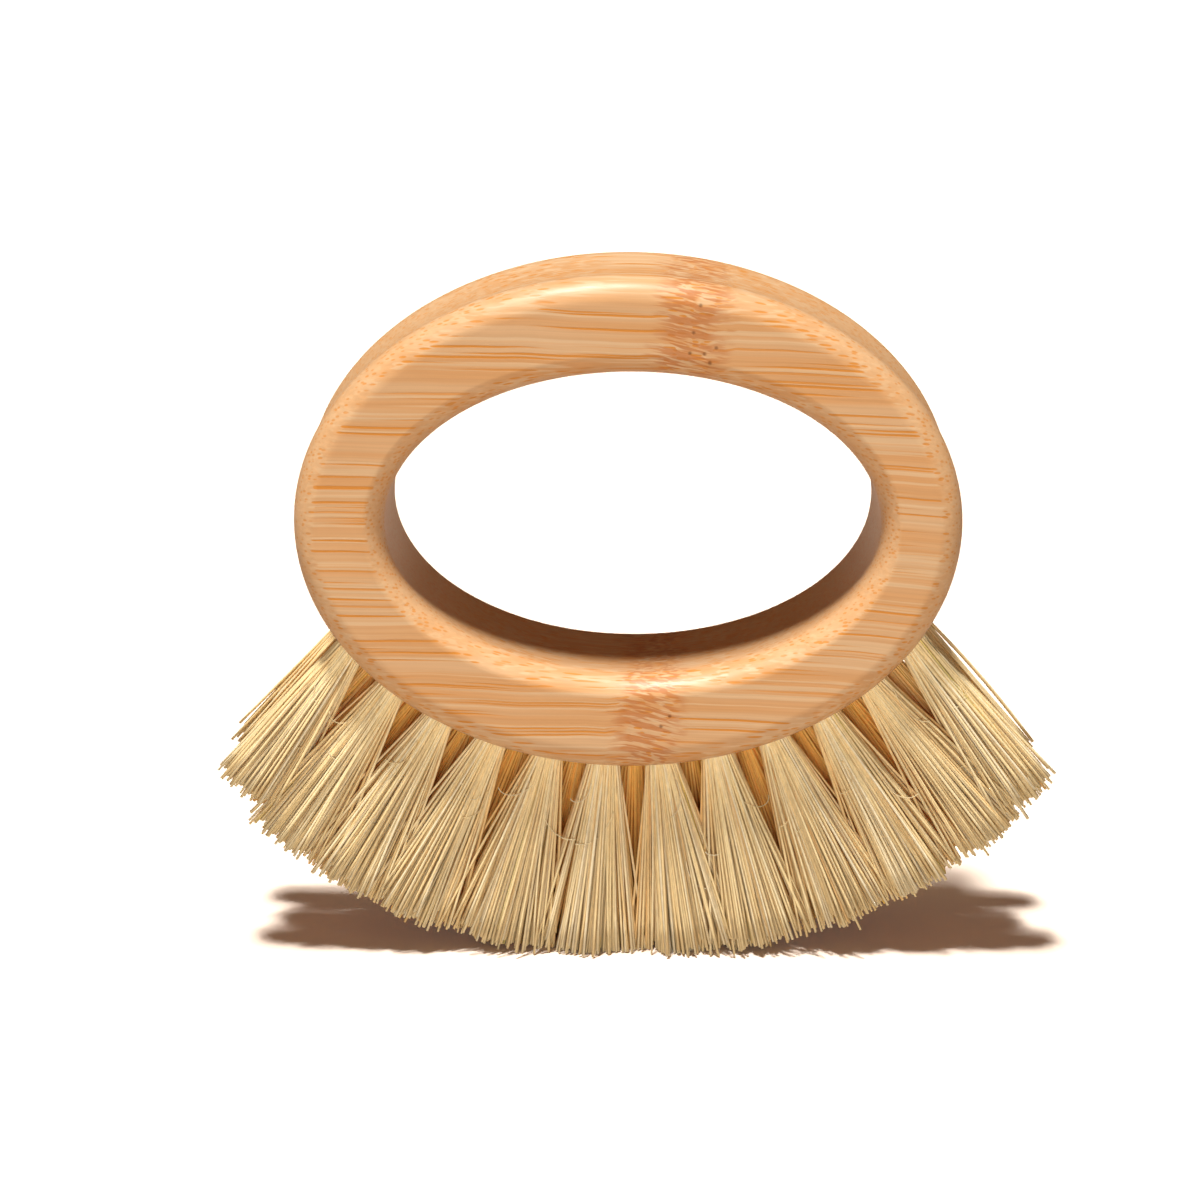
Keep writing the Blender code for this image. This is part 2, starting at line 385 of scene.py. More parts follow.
def fine_streaks_group() -> bpy.types.NodeTree:
    """Group that both finishes use: streaks and specks that are drawn out along X.

    Returns:
        A group with inputs Vector (millimetres), Along, Across and output Mask. The mask is
        a noise read at x times Along, and y and z times Across.
    """
    graph, given, result = new_group(
        "fine_streaks", {"Vector": "Vector", "Along": "Float", "Across": "Float"},
        {"Mask": "Float"})
    vector, along, across = (given.outputs[key] for key in ("Vector", "Along", "Across"))
    x, y, z = graph.parts(vector)
    drawn = graph.vector(graph.times(x, along), graph.times(y, across), graph.times(z, across))
    graph.feed(result, {"Mask": graph.noise(drawn, detail=3.0, roughness=0.6)})
    return graph.tree


@dataclass(frozen=True)
class BambooFinish:
    """Satin-lacquered bamboo whose fibre bundles run along X.

    Colours are linear. Lengths are millimetres, and the knuckle and the pits are placed
    from the ring's middle. A wave is its count in a millimetre and its width. The numbers
    named for face and end hold where the surface runs along the bundles and across them.
    """

    dark_ground: RGB = (0.600, 0.312, 0.128)
    light_ground: RGB = (0.620, 0.378, 0.194)
    ground_layer: NoiseLayer = NoiseLayer((1.0, 0.30, 0.42), 2.0, (0.36, 0.64))
    end_ground: RGB = (0.625, 0.370, 0.180)
    end_span: Span = (0.10, 0.60)
    end_ground_face_end: Span = (0.0, 0.7)
    pale_line: RGB = (0.66, 0.455, 0.260)
    pale_layer: NoiseLayer = NoiseLayer((0.8, 1.1, 1.7), 1.0, (0.53, 0.62))
    pale_face_end: Span = (0.65, 0.25)
    bundle: RGB = (0.59, 0.225, 0.036)
    bundle_pitch: float = 0.60
    bundle_disorder: float = 0.85
    bundle_border: Span = (0.23, 0.39, 1.0, 0.0)
    bundle_layer: NoiseLayer = NoiseLayer((0.62, 0.62, 0.62), 2.0, (0.32, 0.52, 0.58, 1.0))
    bundle_face_end: Span = (1.0, 0.70)
    bundle_share: float = 0.95
    slope: float = 0.040
    slope_gain: float = 0.00035
    stretch: float = 0.012
    drift_wave: Span = (0.04, 2.0)
    knuckle_x: float = 6.0
    knuckle_lean: float = 0.10
    knuckle_slope: float = 0.09
    knuckle_wave: Span = (0.30, 0.45)
    knuckle_border_wave: Span = (0.30, 5.0)
    knuckle_border: Span = (2.475, 6.875, 1.0, 0.0)
    knuckle_break: Span = (0.5, 11.5, 0.0, 2.3)
    mark: RGB = (0.47, 0.170, 0.050)
    mark_layer: NoiseLayer = NoiseLayer((0.253, 2.3, 2.3), 1.0, (0.46, 0.58))
    mark_slope: float = 0.12
    mark_share: float = 0.80
    pit: RGB = (0.12, 0.045, 0.014)
    pits: tuple[tuple[float, float], ...] = (
        (9.4, 29.3), (8.9, 26.3), (12.7, 27.1), (11.0, 26.2), (11.8, 24.9), (10.4, 33.3),
        (6.4, -28.5), (5.1, -30.1),
    )
    pit_border: Span = (0.063, 0.42, 1.0, 0.0)
    pit_floor: Span = (-13.0, -11.0, 0.62, 0.0)
    streak_waves: Span = (1.3, 2.6)
    streak_shade: Span = (0.30, 0.70, 0.95, 1.04)
    streak_roughness: Span = (0.30, 0.75, 0.36, 0.50)
    bundle_sink: float = 0.30
    streak_rise: float = 0.35
    pit_sink: float = 2.0
    bump_strength: float = 0.5
    bump_distance: float = 0.00010
    specular: float = 0.24
    coat_weight: float = 0.14
    coat_roughness: float = 0.34

    def material(self, middle: tuple[float, float]) -> bpy.types.Material:
        """Builds the bamboo material.

        Args:
            middle: x and z of the ring's middle in millimetres.

        Returns:
            The material, which reads Object coordinates and the mesh's end_grain attribute.
        """
        material, graph, shader = new_material("bamboo")
        grain = graph.group(BambooGrain(self, middle).build(), vector=graph.coordinates(),
                            end_grain=graph.attribute("end_grain"))
        bump = graph.add("ShaderNodeBump", {
            "Strength": self.bump_strength,
            "Distance": self.bump_distance,
            "Height": grain["Height"],
        })
        graph.feed(shader, {
            "Base Color": grain["Color"],
            "Roughness": grain["Roughness"],
            "Normal": bump.outputs["Normal"],
            "Specular IOR Level": self.specular,
            "Coat Weight": self.coat_weight,
            "Coat Roughness": self.coat_roughness,
        })
        return material


class BambooGrain:
    """Node group of solid bamboo grain, the same all through the block that a ring is cut from.

    The bundles are cells of a Voronoi pattern in the (y, z) plane, drawn out along X, so a
    face along X shows lines and a face across it shows dots. At the culm's knuckle the
    cells are short, a quick noise shakes them, and there are reddish marks and pits.
    The group has inputs Vector (metres) and End Grain (how squarely the surface cuts the
    bundles) and outputs Color, Roughness and Height.
    """

    def __init__(self, finish: BambooFinish, middle: tuple[float, float]) -> None:
        """Makes the group's sockets and the places that its masks are read at.

        Args:
            finish: colours and sizes of the grain.
            middle: x and z of the ring's middle in millimetres.
        """
        self.finish = finish
        self.graph, given, self.result = new_group(
            "bamboo_grain", {"Vector": "Vector", "End Grain": "Float"},
            {"Color": "Color", "Roughness": "Float", "Height": "Float"})
        graph = self.graph
        self.end_grain = given.outputs["End Grain"]
        self.place = graph.millimetres(given.outputs["Vector"])
        x, self.y, z = graph.parts(self.place)
        self.x = graph.math("SUBTRACT", x, middle[0])
        self.z = graph.math("SUBTRACT", z, middle[1])
        upright = graph.line(self.z, -finish.knuckle_lean, self.x)
        self.ragged_x = graph.math(
            "ADD", upright, graph.swing(self.place, *finish.knuckle_border_wave))
        offset = graph.math("SUBTRACT", self.ragged_x, finish.knuckle_x)
        self.knuckle = graph.ramp(graph.math("ABSOLUTE", offset), finish.knuckle_border)
        self.level = self._level()

    def _level(self) -> Socket:
        """Height along which a line stays level.

        Returns:
            The socket of z plus a slope that grows steadily with x, a slow drift, and at
            the knuckle a steeper slope with a quicker wave.
        """
        graph, finish = self.graph, self.finish
        sloped = graph.line(self.x, graph.line(self.x, finish.slope_gain, finish.slope), self.z)
        drift = graph.math("ADD", sloped, graph.swing(self.place, *finish.drift_wave))
        offset = graph.math("SUBTRACT", self.x, finish.knuckle_x)
        shaken = graph.line(
            offset, finish.knuckle_slope, graph.swing(self.place, *finish.knuckle_wave))
        return graph.line(self.knuckle, shaken, drift)

    def _face_to_end(self, results: Span) -> Socket:
        """Number that is one result on a face along the bundles and another on one across."""
        return self.graph.ramp(self.end_grain, self.finish.end_span + results)

    def _bundles(self, drawn: Socket) -> Socket:
        """Mask of the fibre bundles: near a Voronoi cell's centre, some strong and some faint.

        Args:
            drawn: place in the drawn-out pattern.

        Returns:
            The mask socket.
        """
        graph, finish = self.graph, self.finish
        inputs = {"Vector": drawn, "Scale": 1.0 / finish.bundle_pitch,
                  "Randomness": finish.bundle_disorder}
        cells = graph.add("ShaderNodeTexVoronoi", inputs, feature="F1")
        near = graph.ramp(cells.outputs["Distance"], finish.bundle_border)
        mask = graph.math("MULTIPLY", near, graph.layer(drawn, finish.bundle_layer), clamp=True)
        return graph.times(mask, self._face_to_end(finish.bundle_face_end))

    def _marks(self) -> Socket:
        """Mask of the short reddish marks at the knuckle."""
        slant = self.graph.line(self.x, self.finish.mark_slope, self.level)
        place = self.graph.vector(self.x, self.y, slant)
        return self.graph.times(self.knuckle, self.graph.layer(place, self.finish.mark_layer))

    def _pits(self) -> Socket:
        """Mask of the small dark pits, which go about 3 mm deep from the front face.

        Returns:
            The mask socket, from the distance to the nearest pit in the (x, z) plane.
        """
        graph = self.graph
        here = graph.vector(self.x, 0.0, self.z)
        nearest: object = FAR
        for x, z in self.finish.pits:
            ends = {0: here, 1: (x, 0.0, z)}
            gap = graph.add("ShaderNodeVectorMath", ends, operation="DISTANCE").outputs["Value"]
            nearest = graph.math("MINIMUM", nearest, gap)
        dot = graph.ramp(nearest, self.finish.pit_border)
        return graph.times(dot, graph.ramp(self.y, self.finish.pit_floor))

    def build(self) -> bpy.types.NodeTree:
        """Lays the pattern's colours over the ground one by one, and joins the outputs.

        Returns:
            The group.
        """
        graph, finish = self.graph, self.finish
        broken = graph.ramp(self.ragged_x, finish.knuckle_break)
        drawn = graph.vector(graph.line(self.x, finish.stretch, broken), self.y, self.level)
        bundles, pits = self._bundles(drawn), self._pits()
        pale = graph.times(
            graph.layer(drawn, finish.pale_layer), self._face_to_end(finish.pale_face_end))
        colour = graph.blend(
            graph.layer(drawn, finish.ground_layer), finish.dark_ground, finish.light_ground)
        for share, tint in (
            (self._face_to_end(finish.end_ground_face_end), finish.end_ground),
            (pale, finish.pale_line),
            (graph.times(bundles, finish.bundle_share), finish.bundle),
            (graph.times(self._marks(), finish.mark_share), finish.mark),
            (pits, finish.pit),
        ):
            colour = graph.blend(share, colour, tint)
        streaks = graph.streaks(drawn, *finish.streak_waves)
        raised = graph.line(bundles, -finish.bundle_sink, graph.times(streaks, finish.streak_rise))
        graph.feed(self.result, {
            "Color": graph.shade(colour, graph.ramp(streaks, finish.streak_shade)),
            "Roughness": graph.ramp(streaks, finish.streak_roughness),
            "Height": graph.line(pits, -finish.pit_sink, raised),
        })
        return graph.tree


@dataclass(frozen=True)
class FibreFinish:
    """Dry plant fibre. Each strand has its own tone, and inner strands carry painted shade,
    browner at the root.

    Root tints fade along a strand, within the rim's or the core's share of its length. The tip
    tints paint shade as well: outer tips darker than the stem.
    """

    tones: tuple[tuple[float, RGB], ...] = (
        (0.00, (0.84, 0.52, 0.20)),
        (0.12, (0.91, 0.63, 0.30)),
        (0.35, (0.96, 0.75, 0.41)),
        (0.60, (0.97, 0.80, 0.47)),
        (0.85, (1.00, 0.90, 0.66)),
        (0.94, (0.93, 0.76, 0.34)),
        (1.00, (0.82, 0.68, 0.26)),
    )
    rim_root_tint: RGB = (1.00, 1.00, 0.97)
    # Painted shade: inner fibres are browner towards the root, standing in for the shade deep
    # inside the tufts and in the gaps between them.
    shaded_root_tint: RGB = (1.00, 0.68, 0.28)
    rim_reach: float = 0.50
    shaded_reach: float = 2.80
    stem_tint: RGB = (0.96, 0.95, 0.91)
    # Painted shade: outer fibres darken from the stem tint to this tip tint, evening out the key
    # light that falls on the lower fibres. Inner tips keep a browner painted shade.
    rim_tip_tint: RGB = (0.80, 0.77, 0.71)
    shaded_tip_tint: RGB = (1.00, 0.90, 0.72)
    tip_span: Span = (0.10, 0.75)
    streak_waves: Span = (2.2, 0.8)
    streak_shade: Span = (0.25, 0.75, 0.90, 1.06)
    streak_roughness: Span = (0.3, 0.7, 0.60, 0.80)
    specular: float = 0.08

    def _tone(self, graph: NodeGraph) -> Socket:
        """Colour ramp from the first tone to the last, read at the strand's own tone.

        Args:
            graph: the graph to add to.

        Returns:
            The colour socket.
        """
        node = graph.add("ShaderNodeValToRGB", {0: graph.attribute("tone")})
        elements = node.color_ramp.elements
        for place, colour in self.tones[1:-1]:
            elements.new(place).color = (*colour, 1.0)
        for index in (0, -1):
            elements[index].color = (*self.tones[index][1], 1.0)
        return node.outputs[0]

    def material(self) -> bpy.types.Material:
        """Builds the fibre material.

        Returns:
            The material. It reads the mesh's own tone, core (each fibre's share of painted shade)
            and along attributes, and
            Object coordinates for fine streaks.
        """
        material, graph, shader = new_material("plant_fibre")
        # The core attribute is each fibre's share of painted shade, and the root and tip tints
        # below lay it on.
        along, core = graph.attribute("along"), graph.attribute("core")
        reach = graph.line(core, self.shaded_reach - self.rim_reach, self.rim_reach)
        root = graph.blend(core, self.rim_root_tint, self.shaded_root_tint)
        root = graph.blend(graph.ramp(graph.math("DIVIDE", along, reach), (0.0, 1.0)), root, WHITE)
        # Painted shade along each fibre: darker from the stem towards the tips.
        tip = graph.blend(core, self.rim_tip_tint, self.shaded_tip_tint)
        tip = graph.blend(graph.ramp(along, self.tip_span), self.stem_tint, tip)
        colour = self._tone(graph)
        for tint in (root, tip):
            colour = graph.blend(1.0, colour, tint, mode="MULTIPLY")
        streaks = graph.streaks(graph.millimetres(graph.coordinates()), *self.streak_waves)
        graph.feed(shader, {
            "Base Color": graph.shade(colour, graph.ramp(streaks, self.streak_shade)),
            "Roughness": graph.ramp(streaks, self.streak_roughness),
            "Specular IOR Level": self.specular,
        })
        return material


@dataclass(frozen=True)
class Tuft:
    """One tuft: row, number in it, arc length from the fan's middle, and the row's pitch."""

    row: Row
    number: int
    station: float
    pitch: float

    @property
    def label(self) -> str:
        """Row and number, as the node names hold them."""
        return f"{self.row.name.lower()}_{self.number:02d}"


@dataclass
class TuftPlan:
    """Where the tufts sit on the ring's outer oval and how they fan out. Lengths are metres."""

    oval: Oval
    diameter: float = 5.0 * MM
    hole_play: float = 0.3 * MM
    hole_depth: float = 9.0 * MM
    row_spacing: float = 8.0 * MM
    outer_count: int = 12
    outer_pitch: float = 8.6 * MM
    middle_count: int = 11
    middle_pitch: float = 8.2 * MM
    fan_shift: float = 0.9 * MM
    end_lean: float = math.radians(37.5)
    middle_reach: float = 30.5 * MM
    left_end_reach: float = 26.5 * MM
    right_end_reach: float = 29.0 * MM
    reach_fall_power: float = 4.0
    row_splay: float = 1.2 * MM

    @property
    def end_station(self) -> float:
        """Arc length from the fan's middle to the last tuft of an outer row."""
        return self.outer_pitch * (self.outer_count - 1) / 2

    def tufts(self) -> Iterator[Tuft]:
        """Gives every tuft, row by row from the front and from left to right."""
        for row in Row:
            middle = row is Row.MIDDLE
            count = self.middle_count if middle else self.outer_count
            pitch = self.middle_pitch if middle else self.outer_pitch
            for index in range(count):
                yield Tuft(row, index + 1, pitch * (index - (count - 1) / 2), pitch)

    def root_point(self, station: float) -> np.ndarray:
        """Middle of a hole in (x, z). The fan's middle is a shift past the lowest point."""
        return self.oval.point(np.array(self.oval.angle_at_arc(station + self.fan_shift)))

    def lean(self, station: float) -> float:
        """Lean from straight down: the last tuft's lean times a quarter sine wave."""
        return self.end_lean * math.sin(math.pi / 2 * station / self.end_station)

    def reach(self, station: float) -> float:
        """Length past the ring: the middle's, less a fall to that end's by a power.

        Args:
            station: arc length from the fan's middle.

        Returns:
            The length.
        """
        share = abs(station / self.end_station) ** self.reach_fall_power
        end_reach = self.left_end_reach if station < 0.0 else self.right_end_reach
        return self.middle_reach + (end_reach - self.middle_reach) * share

    def placement(self, tuft: Tuft) -> Matrix:
        """Frame of a tuft: origin on the ring's outer oval, local -Z along the fibres.

        Args:
            tuft: the tuft.

        Returns:
            The placement as a 4 by 4 matrix.
        """
        x, z = self.root_point(tuft.station)
        origin = Matrix.Translation((float(x), tuft.row.value * self.row_spacing, float(z)))
        return origin @ Matrix.Rotation(-self.lean(tuft.station), 4, "Y")

    def tip(self, station: float) -> np.ndarray:
        """Middle of a tuft's tip in the (x, z) plane."""
        lean = self.lean(station)
        along = np.array([math.sin(lean), -math.cos(lean)])
        return self.root_point(station) + self.reach(station) * along

    def tip_room(self, tuft: Tuft) -> float:
        """Mean distance from a tuft's tip to the tips of its two neighbours."""
        stations = (tuft.station - tuft.pitch, tuft.station, tuft.station + tuft.pitch)
        gaps = np.diff([self.tip(station) for station in stations], axis=0)
        return float(np.linalg.norm(gaps, axis=-1).mean())


@dataclass
class RingHandle:
    """The bamboo ring: an oval section carried round the ring, then drilled for the tufts.

    Lengths are metres. A sanding wave is its weight, its turn in a millimetre of x, y and
    z, and its phase.
    """

    finish: BambooFinish = BambooFinish()
    node: str = "bamboo_ring"
    hole_width: float = 73.4 * MM
    hole_height: float = 45.5 * MM
    hole_rise: float = 0.1 * MM
    hole_shift: float = 0.7 * MM
    outer_arc: float = 4.2 * MM
    outer_break: float = math.radians(12.0)
    inner_arc: float = 5.2 * MM
    inner_break: float = math.radians(28.0)
    cove_width: float = 20.0 * MM
    cove_depth: float = 1.6 * MM
    cove_fade: float = 1.0 * MM
    lip_softness: float = 1.6 * MM
    sanding_depth: float = 0.06 * MM
    sanding_waves: tuple[tuple[float, ...], ...] = (
        (0.5, 0.11, 0.23, 0.13, 1.4),
        (0.5, 0.11, 0.23, -0.13, 0.6),
        (0.6, 0.31, 0.17, -0.19, 0.0),
        (0.3, 0.41, 0.30, 0.55, math.pi / 2),
    )
    stations: int = 480
    edge_points: int = 13
    cove_points: int = 26
    wall_points: int = 14
    face_points: int = 15
    border_share: float = 0.07
    drill_facets: int = 28
    drill_overrun: float = 8.4 * MM
    sharp_from: float = math.radians(50.0)

    def __post_init__(self) -> None:
        """Reads the ring's size and place from the frame."""
        low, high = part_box(self.node)
        self.thickness = high.y - low.y
        middle, centre = (low.x + high.x) / 2, (low.z + high.z) / 2
        self.outer = Oval((high.x - low.x) / 2, (high.z - low.z) / 2, middle, centre)
        self.inner = Oval(self.hole_width / 2, self.hole_height / 2,
                          middle + self.hole_shift, centre + self.hole_rise)

    def _corners(self, radius: float, leave: float) -> tuple[np.ndarray, np.ndarray]:
        """Rounded edges as points (inset, y): the front one from face to side, and the rear one.

        The arc leaves the face at an angle, as a router bit does: at a turn from that angle
        to a quarter, the inset is the radius times one minus the sine, and the depth behind
        the face is the radius times the first cosine minus the cosine. The rear edge is
        the same, mirrored, from side to face.

        Args:
            radius: radius of the arc.
            leave: angle between the face and the arc where they meet.

        Returns:
            The points of the two edges, one row each.
        """
        turn = np.linspace(leave, math.pi / 2, self.edge_points)
        inset = radius * (1.0 - np.sin(turn))
        depth = radius * (math.cos(leave) - np.cos(turn))
        front = join(inset, depth - self.thickness / 2)
        return front, front[::-1] * np.array([1.0, -1.0])

    def _outer_section(self) -> np.ndarray:
        """Outer side of the section, between the two faces.

        Between the rounded edges the inset is the cove's depth times one minus the square
        of the share of the half width, with its two borders softened by a running blend.

        Returns:
            Points (inset, y), from the rear face to the front one.
        """
        front, rear = self._corners(self.outer_arc, self.outer_break)
        lip = rear[0, 1]
        y = np.linspace(lip, -lip, self.cove_points + 2)[1:-1]
        depth = self.cove_depth * (1.0 - (np.abs(y) / (self.cove_width / 2)) ** 2)
        soft = self.cove_depth * self.lip_softness / (self.cove_width / 2)
        inset = 0.5 * (depth + np.sqrt(depth ** 2 + soft ** 2)) - 0.5 * soft
        inset = np.maximum(inset, 0.0) * smooth_step(lip - np.abs(y), 0.0, self.cove_fade)
        return np.concatenate([rear[::-1], join(inset, y), front[::-1]])

    def _inner_section(self) -> np.ndarray:
        """Finger-hole side of the section.

        Returns:
            Points (inset, y), from the front face to the rear one.
        """
        front, rear = self._corners(self.inner_arc, self.inner_break)
        y = np.linspace(front[-1, 1], rear[0, 1], self.wall_points + 2)[1:-1]
        return np.concatenate([front, join(0.0, y), rear])

    def _surface(self) -> np.ndarray:
        """Grid of the ring's surface: each oval moved along its normal by the section's inset.

        Face points between the two ovals lie on straight lines: one near each border, which
        keeps it crisp, and the rest spread evenly.

        Returns:
            Points by station round the ring, place in the section, and axis.
        """
        angle = np.linspace(0.0, FULL_TURN, self.stations, endpoint=False)[:, None]
        sides = []
        for oval, section, sign in ((self.outer, self._outer_section(), -1.0),
                                    (self.inner, self._inner_section(), 1.0)):
            flat = oval.point(angle) + sign * section[None, :, 0, None] * oval.normal(angle)
            sides.append(join(flat[..., 0], section[:, 1], flat[..., 1]))
        outer, inner = sides
        share = np.linspace(0.0, 1.0, self.face_points)
        share[0], share[-1] = self.border_share, 1.0 - self.border_share
        front, rear = (start[:, -1:] + share[None, :, None] * (end[:, :1] - start[:, -1:])
                       for start, end in ((outer, inner), (inner, outer)))
        return self._sanded(np.concatenate([outer, front, inner, rear], axis=1))

    def _sanded(self, points: np.ndarray) -> np.ndarray:
        """Sinks the surface by a sum of slow sine waves, which stands for hand sanding.

        Args:
            points: points by station round the ring, place in the section, and axis.

        Returns:
            The points, moved by up to the sanding depth towards their section's middle.
        """
        waves = np.array(self.sanding_waves)
        weights, turns, phases = waves[:, 0], waves[:, 1:4], waves[:, 4]
        wave = np.sin(points / MM @ turns.T + phases) @ weights
        share = (wave / weights.sum() + 1.0) / 2
        inward = points.mean(axis=1, keepdims=True) - points
        inward /= np.linalg.norm(inward, axis=-1, keepdims=True)
        return points + inward * (self.sanding_depth * share[..., None])

    def _drills(self, plan: TuftPlan) -> bpy.types.Object:
        """Makes one cutter with a capped cylinder for each tuft hole.

        Each cylinder's side is a circle of the hole's radius at two heights, placed by the
        tuft's own frame.

        Args:
            plan: where the tufts sit.

        Returns:
            The cutter.
        """
        turn = np.linspace(0.0, FULL_TURN, self.drill_facets, endpoint=False)
        radius = plan.diameter / 2 + plan.hole_play
        x, y = radius * np.cos(turn), radius * np.sin(turn)
        local = np.concatenate([join(x, y, plan.hole_depth), join(x, y, -self.drill_overrun)])
        count = self.drill_facets
        step = np.arange(count)
        follow = (step + 1) % count
        walls = join(step, step + count, follow + count, follow)
        caps = np.stack([step, step[::-1] + count])
        places = [put_in_place(local, plan.placement(tuft)) for tuft in plan.tufts()]
        faces: list[list[int]] = []
        for base in range(0, len(places) * len(local), len(local)):
            faces += (walls + base).tolist() + (caps + base).tolist()
        mesh = bpy.data.meshes.new("tuft_hole_drills")
        mesh.from_pydata(np.concatenate(places).tolist(), [], faces)
        return link_object("tuft_hole_drills", mesh)

    def _drilled(self, ring: bpy.types.Object, plan: TuftPlan) -> bpy.types.Mesh:
        """Cuts the tuft holes into the ring.

        Args:
            ring: the ring's object, whose mesh is replaced.
            plan: where the tufts sit.

        Returns:
            The drilled mesh.
        """
        drills = self._drills(plan)
        cut = ring.modifiers.new("tuft_holes", "BOOLEAN")
        cut.operation = "DIFFERENCE"
        cut.solver = "EXACT"
        cut.object = drills
        graph = bpy.context.evaluated_depsgraph_get()
        ring.data = bpy.data.meshes.new_from_object(ring.evaluated_get(graph), depsgraph=graph)
        ring.modifiers.clear()
        bpy.data.objects.remove(drills)
        ring.data.shade_smooth()
        ring.data.set_sharp_from_angle(angle=self.sharp_from)
        return ring.data

    def _mark_end_grain(self, mesh: bpy.types.Mesh) -> None:
        """Stores how squarely the surface cuts the fibres: its normal's share of X."""
        normals = np.empty(3 * len(mesh.vertices), dtype=np.float32)
        mesh.vertices.foreach_get("normal", normals)
        store_values(mesh, "end_grain", np.abs(normals[::3]))

    def build(self, plan: TuftPlan) -> None:
        """Builds, drills and dresses the ring, which replaces the plain solid.

        Args:
            plan: where the tufts sit.
        """
        grid = self._surface()
        mesh = mesh_from_quads("ring_handle", grid.reshape(-1, 3), ring_quads(*grid.shape[:2]))
        material = self.finish.material((self.outer.centre_x / MM, self.outer.centre_height / MM))
        ring = add_piece("ring_handle", mesh, material)
        drilled = self._drilled(ring, plan)
        self._mark_end_grain(drilled)
        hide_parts(self.node)
        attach(ring, BODY)
        holes = len(list(plan.tufts()))
        LOG.info("ring_handle: %d vertices, %d tuft holes", len(drilled.vertices), holes)


@dataclass
class StrandBatch:
    """Many strands at once: centre lines, radii, tones, each one's share of painted shade, and
    tubes.
    """

    centres: np.ndarray
    radii: np.ndarray
    tones: np.ndarray
    shade_shares: np.ndarray
    flatness: float = 0.88
    sides: int = 4

    def points(self, rng: np.random.Generator) -> np.ndarray:
        """Vertices of the tubes, by strand, station and side.

        Each ring of vertices is the centre plus the radius times the cosine along one
        cross direction and the sine along the other, flattened a little. The cross
        directions are square to the strand, from a fixed random side of each strand.

        Args:
            rng: source of the random sides.

        Returns:
            The vertices.
        """
        tangent = np.gradient(self.centres, axis=1)
        tangent /= np.linalg.norm(tangent, axis=-1, keepdims=True)
        side = rng.normal(size=(len(self.centres), 1, 3))
        across = np.cross(tangent, np.broadcast_to(side, tangent.shape))
        across /= np.linalg.norm(across, axis=-1, keepdims=True)
        other = np.cross(tangent, across)
        turn = (np.arange(self.sides) * FULL_TURN / self.sides)[:, None]
        around = (np.cos(turn) * across[:, :, None]
                  + self.flatness * np.sin(turn) * other[:, :, None])
        return self.centres[:, :, None] + self.radii[:, :, None, None] * around

    def faces(self) -> np.ndarray:
        """Faces of the tubes and of their two square ends.

        Returns:
            Vertex numbers, four to a face.
        """
        count, stations = self.centres.shape[:2]
        strand = np.arange(count)[:, None, None] * stations * self.sides
        corner = np.arange(self.sides)
        first = strand + np.arange(stations - 1)[None, :, None] * self.sides
        near, follow = first + corner, first + (corner + 1) % self.sides
        walls = join(near, follow, follow + self.sides, near + self.sides)
        start = strand[:, 0] + corner[::-1]
        finish = strand[:, 0] + (stations - 1) * self.sides + corner
        return np.concatenate([walls.reshape(-1, 4), start, finish])


def strand_mesh(name: str, batches: list[StrandBatch], rng: np.random.Generator) -> bpy.types.Mesh:
    """One mesh of several batches of strands, with their tone, core (each fibre's share of painted
    shade) and along attributes.

    Args:
        name: name of the mesh.
        batches: the strands.
        rng: source of the random sides.

    Returns:
        The mesh.
    """
    points, quads, base = [], [], 0
    stored: dict[str, list[np.ndarray]] = {"tone": [], "core": [], "along": []}
    for batch in batches:
        grid = batch.points(rng)
        points.append(grid.reshape(-1, 3))
        quads.append(batch.faces() + base)
        base += len(points[-1])
        along = np.linspace(0.0, 1.0, grid.shape[1])[None, :]
        values = (batch.tones[:, None], batch.shade_shares[:, None], along)
        for kept, value in zip(stored.values(), values):
            kept.append(np.broadcast_to(value[..., None], grid.shape[:3]).ravel())
    mesh = mesh_from_quads(name, np.concatenate(points), np.concatenate(quads))
    for key, values in stored.items():
        store_values(mesh, key, np.concatenate(values))
    return mesh


